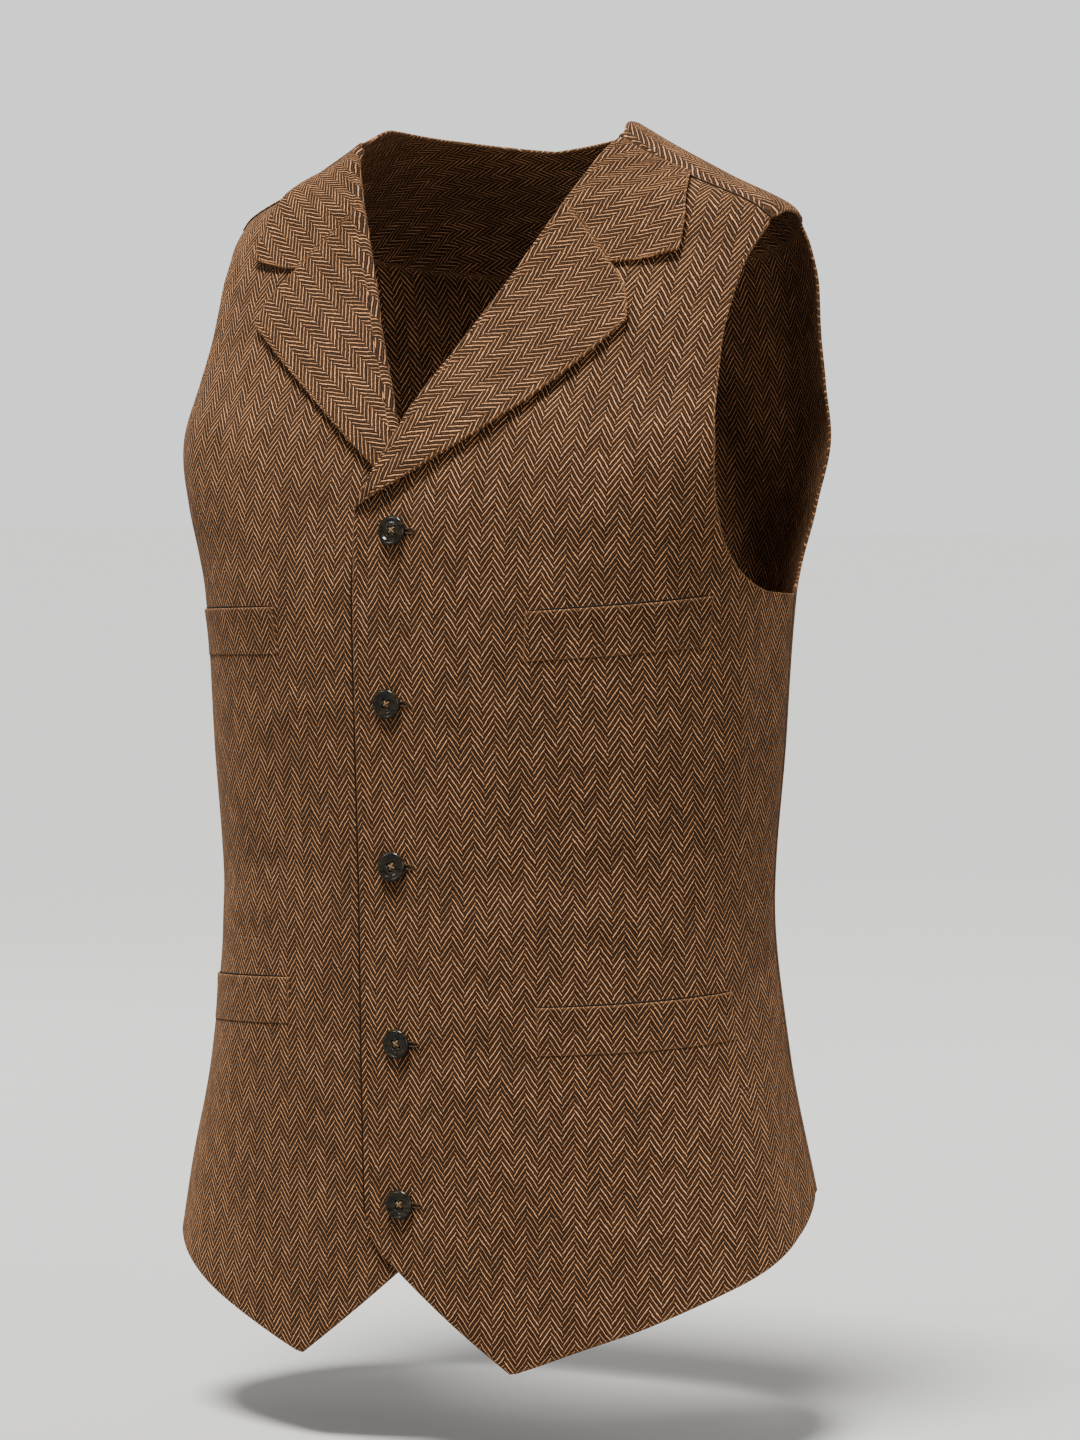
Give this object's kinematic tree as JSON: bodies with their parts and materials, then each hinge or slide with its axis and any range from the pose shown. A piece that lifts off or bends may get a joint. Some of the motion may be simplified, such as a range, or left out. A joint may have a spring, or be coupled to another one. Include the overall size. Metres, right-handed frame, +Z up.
{
  "type": "suit waistcoat",
  "caption": "Single-breasted suit waistcoat with notched lapels, pocket welts and pointed front hems, in its worn, hollow shape.",
  "frame": {"origin": "midway between the two neck points, at the height of the shoulders that carry the garment", "axes": "+Z up, the wearer faces -Y, and the wearer's left is +X"},
  "size_m": [0.3848, 0.2432, 0.6835],
  "materials": {
    "cloth": "brown herringbone wool cloth, dry and slightly napped",
    "button": "dark horn-like resin, polished"
  },
  "bodies": {
    "root": {"back": "cloth", "yoke": "cloth", "front_left": "cloth", "front_right": "cloth", "lapel_left": "cloth", "lapel_right": "cloth", "collar_left": "cloth", "collar_right": "cloth", "welt_chest_left": "cloth", "welt_chest_right": "cloth", "welt_hip_left": "cloth", "welt_hip_right": "cloth", "button_1": "button", "button_2": "button", "button_3": "button", "button_4": "button", "button_5": "button"}
  },
  "joints": []
}
